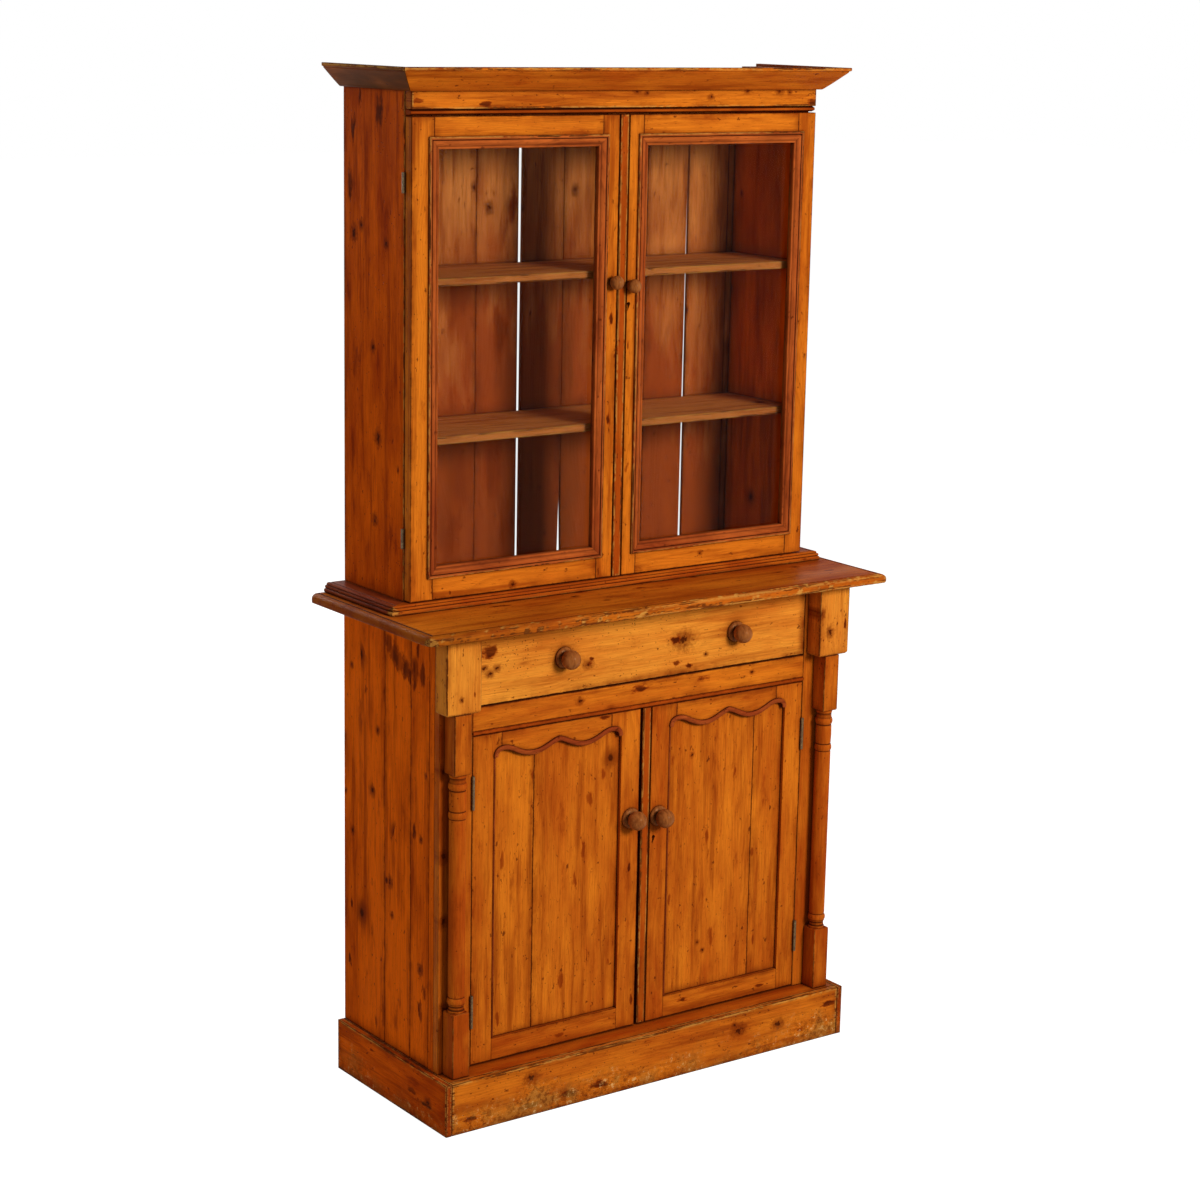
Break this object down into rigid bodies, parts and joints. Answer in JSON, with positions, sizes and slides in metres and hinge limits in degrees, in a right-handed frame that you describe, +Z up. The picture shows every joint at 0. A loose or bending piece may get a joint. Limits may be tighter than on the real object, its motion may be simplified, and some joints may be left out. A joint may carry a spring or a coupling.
{
  "type": "step back cupboard",
  "caption": "Old pine step back cupboard: glazed upper case with shelves on a deeper case with a drawer, scalloped panel doors and turned corner columns.",
  "frame": {"origin": "floor centre of the whole bounding box", "axes": "+Z up, the front faces -Y, +X to the right for a person who faces the front"},
  "size_m": [1.15, 0.4536, 2.1],
  "materials": {
    "front_pine": "waxed, worn honey pine",
    "drawer_pine": "waxed, lighter golden pine",
    "dark_pine": "waxed, darker red-brown pine",
    "trim_pine": "polished reddish-brown mouldings",
    "inner_pine": "dull brown inside boards",
    "knob_wood": "turned, stained and polished",
    "pane_glass": "clear, slightly grey",
    "old_steel": "dark, worn iron"
  },
  "bodies": {
    "carcass": {"plinth_left": "dark_pine", "plinth_right": "dark_pine", "lower_side_left": "dark_pine", "lower_side_right": "dark_pine", "upper_side_left": "dark_pine", "upper_side_right": "dark_pine", "crown_left": "dark_pine", "crown_right": "dark_pine", "plinth_front": "front_pine", "base_board": "front_pine", "face_stile_left": "front_pine", "face_stile_right": "front_pine", "drawer_rail": "front_pine", "countertop": "front_pine", "column_left": "front_pine", "column_right": "front_pine", "frieze": "front_pine", "crown_front": "front_pine", "corner_block_left": "drawer_pine", "corner_block_right": "drawer_pine", "lower_back": "inner_pine", "drawer_runner_left": "inner_pine", "drawer_runner_right": "inner_pine", "upper_floor": "inner_pine", "shelf_low": "inner_pine", "shelf_high": "inner_pine", "upper_roof": "inner_pine", "upper_back": "inner_pine", "waist_moulding": "trim_pine", "upper_left_hinge_bottom": "old_steel", "upper_left_hinge_top": "old_steel", "upper_right_hinge_bottom": "old_steel", "upper_right_hinge_top": "old_steel", "lower_left_hinge_bottom": "old_steel", "lower_left_hinge_top": "old_steel", "lower_right_hinge_bottom": "old_steel", "lower_right_hinge_top": "old_steel"},
    "upper_left_door": {"upper_left_door_frame": "front_pine", "upper_left_door_glazing_moulding": "trim_pine", "upper_left_door_knob": "knob_wood", "upper_left_door_glass": "pane_glass"},
    "upper_right_door": {"upper_right_door_frame": "front_pine", "upper_right_door_glazing_moulding": "trim_pine", "upper_right_door_knob": "knob_wood", "upper_right_door_glass": "pane_glass"},
    "lower_left_door": {"lower_left_door_frame": "front_pine", "lower_left_door_panel": "front_pine", "lower_left_door_panel_moulding": "trim_pine", "lower_left_door_knob": "knob_wood"},
    "lower_right_door": {"lower_right_door_frame": "front_pine", "lower_right_door_panel": "front_pine", "lower_right_door_panel_moulding": "trim_pine", "lower_right_door_knob": "knob_wood"},
    "drawer": {"drawer_front": "drawer_pine", "drawer_side_left": "inner_pine", "drawer_side_right": "inner_pine", "drawer_bottom": "inner_pine", "drawer_back": "inner_pine", "drawer_knob_left": "knob_wood", "drawer_knob_right": "knob_wood"}
  },
  "joints": [
    {"name": "upper_left_door_hinge", "type": "hinge", "parent": "carcass", "child": "upper_left_door", "pos_m": [-0.5019, -0.00585, 1.06], "axis": [0, 0, -1], "range_deg": [0, 170]},
    {"name": "upper_right_door_hinge", "type": "hinge", "parent": "carcass", "child": "upper_right_door", "pos_m": [0.5019, -0.00585, 1.06], "axis": [0, 0, 1], "range_deg": [0, 170]},
    {"name": "lower_left_door_hinge", "type": "hinge", "parent": "carcass", "child": "lower_left_door", "pos_m": [-0.4224, -0.14665, 0.11], "axis": [0, 0, -1], "range_deg": [0, 110]},
    {"name": "lower_right_door_hinge", "type": "hinge", "parent": "carcass", "child": "lower_right_door", "pos_m": [0.4224, -0.14665, 0.11], "axis": [0, 0, 1], "range_deg": [0, 110]},
    {"name": "drawer_slide", "type": "slide", "parent": "carcass", "child": "drawer", "axis": [0, -1, 0], "range_m": [0, 0.25]}
  ]
}
